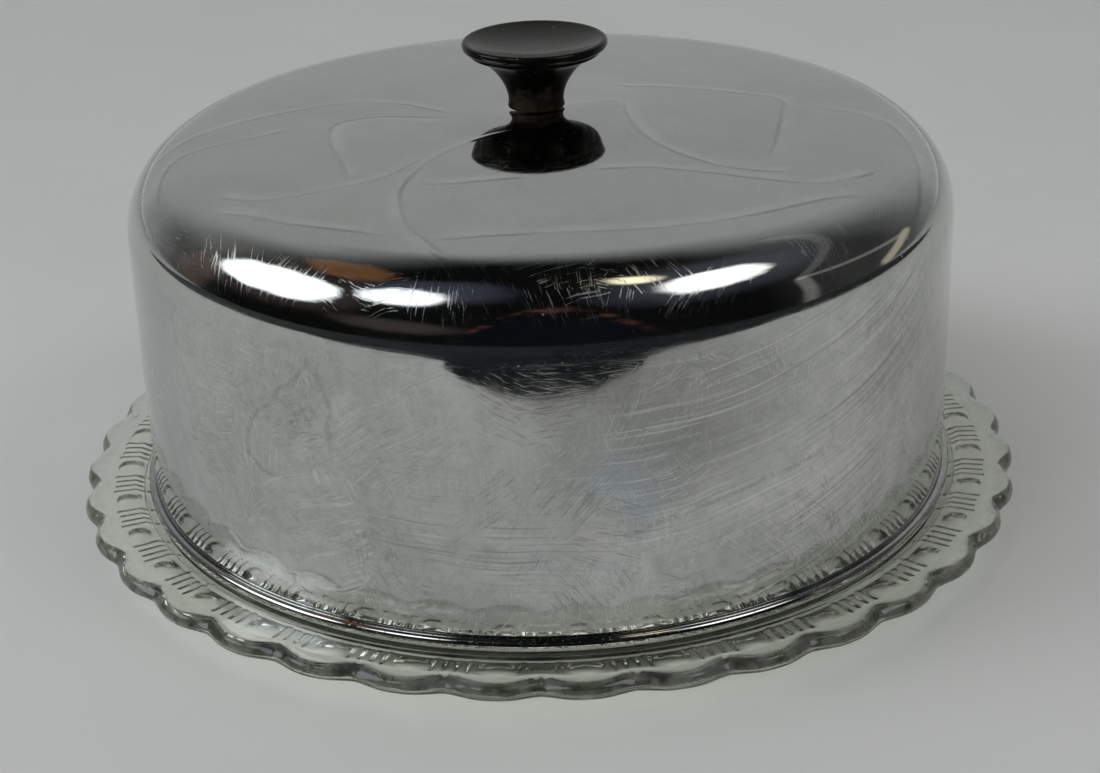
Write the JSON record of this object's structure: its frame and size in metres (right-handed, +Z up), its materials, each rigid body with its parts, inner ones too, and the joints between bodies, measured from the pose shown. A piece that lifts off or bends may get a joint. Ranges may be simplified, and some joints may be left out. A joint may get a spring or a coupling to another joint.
{
  "type": "covered cake plate",
  "caption": "Low clear-glass cake plate with a scalloped rim and a bright plated dome cover, lifted off by a dished black knob.",
  "frame": {"origin": "centre of the plate's foot ring, at the surface it stands on", "axes": "+Z up along the common axis of the plate, cover and knob; the rim's scallops repeat every ten degrees round it"},
  "size_m": [0.314, 0.314, 0.1558],
  "materials": {
    "glass_plate": "fire-polished clear pressed glass, faint olive-grey in the thick edges",
    "plated_cover": "bright plated sheet metal with fine scratches, wipe marks and haze",
    "black_knob": "polished moulded black plastic with faint brown cast and dust in the neck",
    "insert_brass": "turned brass with a thread and a knurl, slightly dull",
    "screw_zinc": "zinc-plated steel, dulled",
    "washer_zinc": "zinc-plated stamped steel, dulled"
  },
  "bodies": {
    "plate": {"cake_plate": "glass_plate"},
    "cover": {"dome_shell": "plated_cover", "knob": "black_knob", "knob_insert": "insert_brass", "knob_screw": "screw_zinc", "knob_washer": "washer_zinc"}
  },
  "joints": [
    {"name": "cover_lift", "type": "slide", "parent": "plate", "child": "cover", "axis": [0, 0, 1], "range_m": [0, 0.16]}
  ]
}
